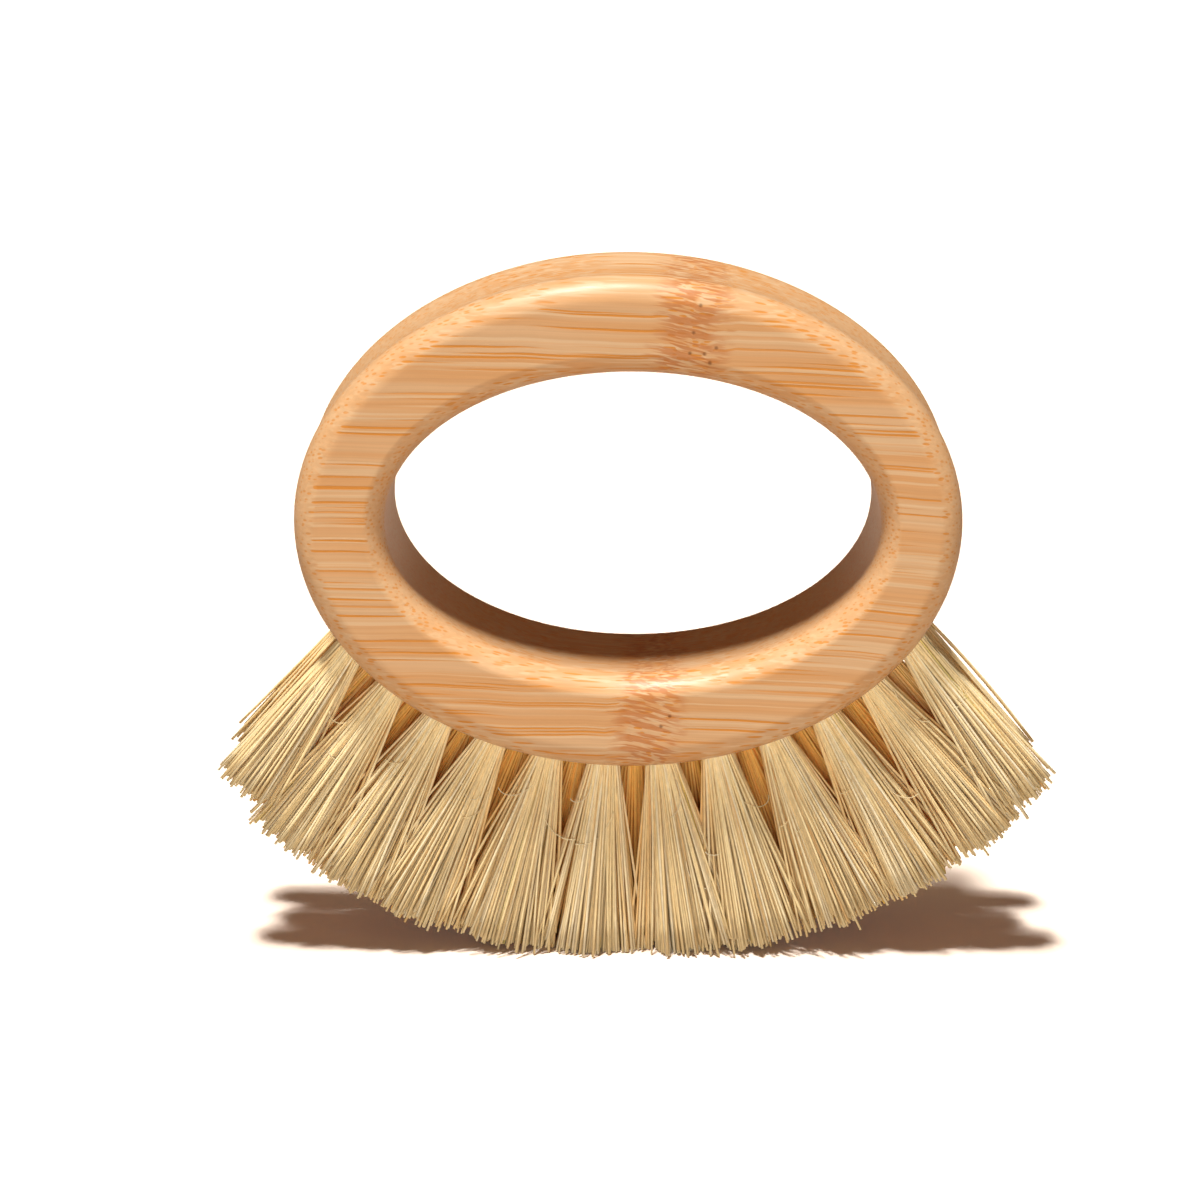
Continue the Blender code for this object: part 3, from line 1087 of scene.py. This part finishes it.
@dataclass
class FibreTufts:
    """The 35 tufts, each a bundle of separate fibres that fans out from its hole.

    Lengths are metres. A span gives the limits of an even random draw, or of a ramp.
    """

    plan: TuftPlan
    finish: FibreFinish = FibreFinish()
    fibres: int = 290
    stations: int = 9
    seated: float = 3.0 * MM
    thin_radius: float = 0.20 * MM
    thick_radius: float = 0.27 * MM
    tip_taper: float = 0.96
    taper_span: Span = (0.55, 1.0)
    tone: float = 0.60
    tone_scatter: float = 0.14
    overlap: float = 2.4 * MM
    end_overlap: float = 0.3 * MM
    half_depth: float = 4.9 * MM
    core_spread: float = 0.54
    rim_power: float = 4.0
    rim_stray: Span = (0.1, 1.0)
    loose_share: float = 0.48
    loose_stray: Span = (0.0, 1.5)
    length_scatter: float = 0.60 * MM
    short_share: float = 0.22
    short_by: float = 2.2 * MM
    least_drop: float = 0.5
    lean_scatter: float = math.radians(1.4)
    bow: float = 0.24 * MM
    wander: float = 0.32 * MM
    wander_limit: float = 2.0
    locks: int = 16
    lock_pull: float = 0.08
    lock_span: Span = (0.2, 1.0)
    core_depth: float = 0.4
    end_light: float = 0.7
    end_light_span: Span = (0.8, 1.0)
    hairs: int = 2
    hair_radius: float = 0.08 * MM
    hair_length: float = 9.0 * MM
    hair_length_span: Span = (0.6, 1.0)
    hair_curl: float = 3.0
    hair_curl_span: Span = (0.4, 1.0)
    hair_heading: Span = (-0.7, 0.7)
    hair_start: Span = (0.05, 0.55)
    hair_lift: float = 0.4
    hair_tone: Span = (0.5, 0.9)

    def _offsets(self, rng: np.random.Generator, tuft: Tuft) -> tuple[np.ndarray, np.ndarray]:
        """Root and tip offsets of the fibres, across the tuft.

        Roots fill the hole's disc in a sunflower pattern. Tips are the same pattern spread
        to the core's share of the room at the tips, and a power of the distance from the
        middle sends rim fibres out to the whole of it. A share of loose fibres strays
        anywhere in it. Then each tip is drawn part of the way to the nearest of a few locks.

        Args:
            rng: source of random numbers.
            tuft: the tuft.

        Returns:
            Root offsets and tip offsets, each as rows of x and y.
        """
        index = np.arange(self.fibres)
        distance = np.sqrt((index + 0.5) / self.fibres)
        turn = index * GOLDEN_TURN + rng.uniform(0.0, FULL_TURN)
        disc = distance[:, None] * join(np.cos(turn), np.sin(turn))
        root = disc * (self.plan.diameter / 2 - self.thick_radius)
        room = self.plan.tip_room(tuft) / 2
        is_last = abs(tuft.station) > self.plan.end_station - tuft.pitch
        outward = np.sign(tuft.station) * disc[:, 0] > 0.0
        half_width = room + np.where(is_last & outward, self.end_overlap, self.overlap)
        stray = distance ** self.rim_power * rng.uniform(*self.rim_stray, self.fibres)
        loose = rng.random(self.fibres) < self.loose_share
        stray = np.maximum(stray, loose * distance * rng.uniform(*self.loose_stray, self.fibres))
        spread = self.core_spread + (1.0 - self.core_spread) * stray
        tip = disc * join(half_width, self.half_depth) * spread[:, None]
        reach = np.array([room + self.overlap, self.half_depth]) * self.core_spread
        locks = rng.uniform(-1.0, 1.0, size=(self.locks, 2)) * reach
        gaps = np.linalg.norm(tip[:, None, :] - locks[None, :, :], axis=-1)
        pull = self.lock_pull * rng.uniform(*self.lock_span, size=(self.fibres, 1))
        tip += (locks[np.argmin(gaps, axis=1)] - tip) * pull
        limit = self.wander_limit
        tip += np.clip(rng.normal(size=tip.shape), -limit, limit) * self.wander
        tip[:, 1] = np.clip(tip[:, 1], -self.half_depth, self.half_depth)
        tip[:, 1] += tuft.row.value * self.plan.row_splay
        return root, tip

    def _centre_lines(self, rng: np.random.Generator, tuft: Tuft) -> np.ndarray:
        """Centre lines of one tuft's fibres.

        A fibre's length is the tuft's reach with a small scatter. Where it would pass the
        surface that the brush stands on, it is cut there.

        Args:
            rng: source of random numbers.
            tuft: the tuft.

        Returns:
            Points by fibre, station and axis.
        """
        count = self.fibres
        root, tip = self._offsets(rng, tuft)
        reach = self.plan.reach(tuft.station) + rng.normal(scale=self.length_scatter, size=count)
        reach -= self.short_by * rng.random(count) * (rng.random(count) < self.short_share)
        spread = np.linalg.norm(tip - root, axis=-1)
        drop = np.sqrt(np.maximum(reach ** 2 - spread ** 2, (self.least_drop * reach) ** 2))
        heading = rng.uniform(0.0, FULL_TURN, count)
        sway = self.bow * rng.normal(size=(count, 1)) * join(np.cos(heading), np.sin(heading))
        lean = Matrix.Rotation(rng.normal(scale=self.lean_scatter), 4, "Y")
        placement = self.plan.placement(tuft) @ lean
        whole = put_in_place(self._shape(root, tip, drop, sway), placement)
        floor = self.thin_radius
        start, end = whole[:, 1, 2], whole[:, -1, 2]
        keep = np.where(end < floor, (start - floor) / np.maximum(start - end, MM), 1.0)
        cut_tip = root + (tip - root) * keep[:, None]
        cut = put_in_place(self._shape(root, cut_tip, drop * keep, sway), placement)
        cut[..., 2] = np.maximum(cut[..., 2], floor)
        return cut

    def _shape(self, root: np.ndarray, tip: np.ndarray, drop: np.ndarray,
               sway: np.ndarray) -> np.ndarray:
        """Centre lines in the tuft's own frame.

        From the fold in the hole a fibre leaves its root offset for its tip offset in
        proportion to the share of its length, with a bow of half a sine wave.

        Args:
            root: offsets at the hole.
            tip: offsets at the tip.
            drop: distance along the tuft's axis from the hole's mouth to the tip.
            sway: how far each fibre's bow goes in x and y.

        Returns:
            Points by fibre, station and axis.
        """
        share = np.concatenate([[0.0], np.linspace(0.0, 1.0, self.stations - 1)])[None, :, None]
        flat = root[:, None] + (tip - root)[:, None] * share
        flat = flat + sway[:, None] * np.sin(math.pi * share)
        height = -drop[:, None, None] * share
        height[:, 0] = self.seated
        return np.concatenate([flat, height], axis=-1)

    def _hairs(self, rng: np.random.Generator, tuft: Tuft) -> StrandBatch:
        """Thin curled hairs that stand off an outer tuft.

        A hair starts at a point on the tuft's outer side. Its heading, in the plane across
        the tuft, starts near the fibres' own and turns with the square of the share of its
        length, and the running sum of its steps gives its points.

        Args:
            rng: source of random numbers.
            tuft: the tuft.

        Returns:
            The hairs.
        """
        column = (self.hairs, 1)
        share = np.linspace(0.0, 1.0, 2 * self.stations)
        curl = self.hair_curl * rng.uniform(*self.hair_curl_span, column)
        curl *= rng.choice((-1.0, 1.0), column)
        heading = rng.uniform(*self.hair_heading, column) + curl * share ** 2
        step = self.hair_length * rng.uniform(*self.hair_length_span, column) / len(share)
        start = self.plan.reach(tuft.station) * rng.uniform(*self.hair_start, column)
        radius = self.plan.diameter / 2
        x = radius * rng.uniform(-1.0, 1.0, column) + np.cumsum(np.sin(heading) * step, axis=1)
        y = tuft.row.value * radius * (1.0 + self.hair_lift * share)
        z = -start - np.cumsum(np.cos(heading) * step, axis=1)
        centres = put_in_place(join(x, y, z), self.plan.placement(tuft))
        centres[..., 2] = np.maximum(centres[..., 2], self.thin_radius)
        radii = np.full(x.shape, self.hair_radius)
        tones = rng.uniform(*self.hair_tone, self.hairs)
        return StrandBatch(centres, radii, tones, np.zeros(self.hairs))

    def _painted_shade(self, centres: np.ndarray, tuft: Tuft) -> np.ndarray:
        """Each fibre's share of painted shade: 1 in the middle row, rising inwards in an outer
        one.

        Args:
            centres: the fibres' centre lines.
            tuft: their tuft.

        Returns:
            A number for each fibre, which falls toward the fan's ends, where more light is.
        """
        # Painted shade: fibres deeper in the fan get more of the brown tint, and fibres towards
        # its lit ends get less.
        end_share = np.array(abs(tuft.station) / self.plan.end_station)
        shelter = 1.0 - self.end_light * smooth_step(end_share, *self.end_light_span)
        if tuft.row is Row.MIDDLE:
            return np.full(len(centres), shelter)
        side, depth = tuft.row.value, self.core_depth * self.plan.diameter
        inward = -side * (centres[:, 1, 1] - side * self.plan.row_spacing)
        return shelter * smooth_step(inward, -depth, depth)

    def build(self) -> None:
        """Builds and dresses every tuft, each of which replaces its plain solid."""
        material = self.finish.material()
        share = np.linspace(0.0, 1.0, self.stations)
        taper = 1.0 - (1.0 - self.tip_taper) * smooth_step(share, *self.taper_span)
        for tuft in self.plan.tufts():
            rng = np.random.default_rng([SEED, tuft.row.value + 1, tuft.number])
            centres = self._centre_lines(rng, tuft)
            radii = rng.uniform(self.thin_radius, self.thick_radius, (self.fibres, 1)) * taper
            tones = np.clip(rng.normal(self.tone, self.tone_scatter, self.fibres), 0.0, 1.0)
            batches = [StrandBatch(centres, radii, tones, self._painted_shade(centres, tuft))]
            if tuft.row is not Row.MIDDLE:
                batches.append(self._hairs(rng, tuft))
            name = f"fibres_{tuft.label}"
            piece = add_piece(name, strand_mesh(name, batches, rng), material)
            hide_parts(f"tuft_{tuft.label}")
            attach(piece, BODY)
            LOG.info("%s: %d fibres", name, self.fibres)


class LampKind(Enum):
    """Blender's names of the two kinds of lamp."""

    SKY = "SUN"
    SOFT = "AREA"


@dataclass(frozen=True)
class Lamp:
    """A lamp: its kind and strength, where it hangs, where its light goes, and its own sizes."""

    name: str
    kind: LampKind
    strength: float
    place: tuple[float, float, float]
    travel: tuple[float, float, float]
    sizes: dict[str, object]

    def hang(self) -> None:
        """Puts the lamp into the scene, with its width level. A soft one isn't seen in gloss."""
        data = bpy.data.lights.new(self.name, self.kind.value)
        data.energy = self.strength
        for key, value in self.sizes.items():
            setattr(data, key, value)
        away = -np.array(self.travel) / np.linalg.norm(self.travel)
        side = np.cross((0.0, 0.0, 1.0), away)
        side /= np.linalg.norm(side)
        axes = np.stack([side, np.cross(away, side), away], axis=1)
        lamp = link_object(self.name, data)
        lamp.matrix_world = Matrix.Translation(self.place) @ Matrix(axes.tolist()).to_4x4()
        lamp.visible_glossy = lamp.visible_camera = self.kind is LampKind.SKY


@dataclass
class Studio:
    """Camera at the photographed angle, a pale floor that keeps the shadow, and plain lamps.

    Lengths are metres, and the camera is placed from the ring's middle.
    """

    oval: Oval
    camera_offset: tuple[float, float, float] = (1.295 * MM, -500.0 * MM, 112.712 * MM)
    pitch_down: float = 0.249
    turn_left: float = 0.011
    roll: float = 0.003
    lens: float = 101.66
    sensor: float = 36.0
    near_clip: float = 0.01
    floor_half: float = 6.0
    lamps: tuple[Lamp, ...] = (
        Lamp("key", LampKind.SKY, 2.8, (-0.12, -0.22, 1.0), (0.12, 0.22, -1.0),
             {"angle": math.radians(6.0)}),
        Lamp("overhead", LampKind.SKY, 2.2, (-0.13, -0.13, 1.0), (0.13, 0.13, -1.0),
             {"angle": math.radians(9.0)}),
        Lamp("front_fill", LampKind.SOFT, 6.7, (0.0, -1.10, 0.08), (0.0, 1.10, -0.02),
             {"shape": "RECTANGLE", "size": 0.5, "size_y": 0.18}),
        Lamp("rear_fill", LampKind.SOFT, 5.0, (0.05, 1.25, 0.08), (-0.05, -1.25, -0.02),
             {"shape": "RECTANGLE", "size": 0.3, "size_y": 0.18}),
    )
    ambient: RGB = (0.100, 0.050, 0.024)
    world_gloss: float = 0.01
    floor_gloss: float = 0.02
    floor_seen: RGB = (1.00, 0.84, 0.70)
    floor_bounce: RGB = (0.36, 0.29, 0.23)
    diffuse_bounces: int = 10

    def add_camera(self) -> None:
        """Places the camera: down by the pitch, left by the turn, and turned by the roll."""
        data = bpy.data.cameras.new("camera")
        data.lens = self.lens
        data.sensor_width = self.sensor
        data.clip_start = self.near_clip
        camera = link_object("camera", data)
        x, y, z = self.camera_offset
        matrix = Matrix.Translation((x + self.oval.centre_x, y, z + self.oval.centre_height))
        for angle, axis in ((self.turn_left, "Z"), (math.pi / 2 - self.pitch_down, "X"),
                            (self.roll, "Z")):
            matrix = matrix @ Matrix.Rotation(angle, 4, axis)
        camera.matrix_world = matrix
        bpy.context.scene.camera = camera

    def _seen(self, graph: NodeGraph, gloss_share: float) -> Socket:
        """Mask of rays that see the white setting: the camera's, glass, and a share of gloss.

        Args:
            graph: the graph to add to.
            gloss_share: how white the setting is in reflections.

        Returns:
            The mask socket.
        """
        path = graph.add("ShaderNodeLightPath").outputs
        clear = graph.math("MAXIMUM", path["Is Camera Ray"], path["Is Transmission Ray"])
        return graph.math("MAXIMUM", clear, graph.times(path["Is Glossy Ray"], gloss_share))

    def add_world(self) -> None:
        """White where it is seen, and a dim warm light on everything."""
        world = bpy.data.worlds.new("studio")
        bpy.context.scene.world = world
        world.use_nodes = True
        graph = NodeGraph(world.node_tree)
        colour = graph.blend(self._seen(graph, self.world_gloss), self.ambient, WHITE)
        graph.feed(world.node_tree.nodes["Background"], {"Color": colour})

    def add_floor(self) -> None:
        """A floor that shows white in the light and brown in the brush's shadow."""
        half = self.floor_half
        corners = np.array([(-half, -half, 0.0), (half, -half, 0.0), (half, half, 0.0),
                            (-half, half, 0.0)])
        mesh = mesh_from_quads("floor", corners, np.array([[0, 1, 2, 3]]))
        material, graph, shader = new_material("floor")
        graph.tree.nodes.remove(shader)
        colour = graph.blend(
            self._seen(graph, self.floor_gloss), self.floor_bounce, self.floor_seen)
        surface = graph.add("ShaderNodeBsdfDiffuse", {"Color": colour})
        graph.feed(graph.tree.nodes["Material Output"], {"Surface": surface.outputs[0]})
        add_piece("floor", mesh, material)

    def build(self) -> None:
        """Sets the colour view and adds the camera, lamps, world and floor.

        Light goes on bouncing between the pale fibres for many turns, so more diffuse
        bounces are followed than Blender's own four.
        """
        bpy.context.scene.view_settings.view_transform = "Standard"
        bpy.context.scene.cycles.diffuse_bounces = self.diffuse_bounces
        self.add_camera()
        for lamp in self.lamps:
            lamp.hang()
        self.add_world()
        self.add_floor()
        LOG.info("studio: camera, %d lamps, world and floor", len(self.lamps))


def main() -> None:
    """Builds the studio, the ring and the tufts in order."""
    logging.basicConfig(level=logging.INFO, format="%(name)s: %(message)s")
    fine_streaks_group()
    ring = RingHandle()
    plan = TuftPlan(ring.outer)
    Studio(ring.outer).build()
    ring.build(plan)
    FibreTufts(plan).build()


if __name__ == "__main__":
    main()
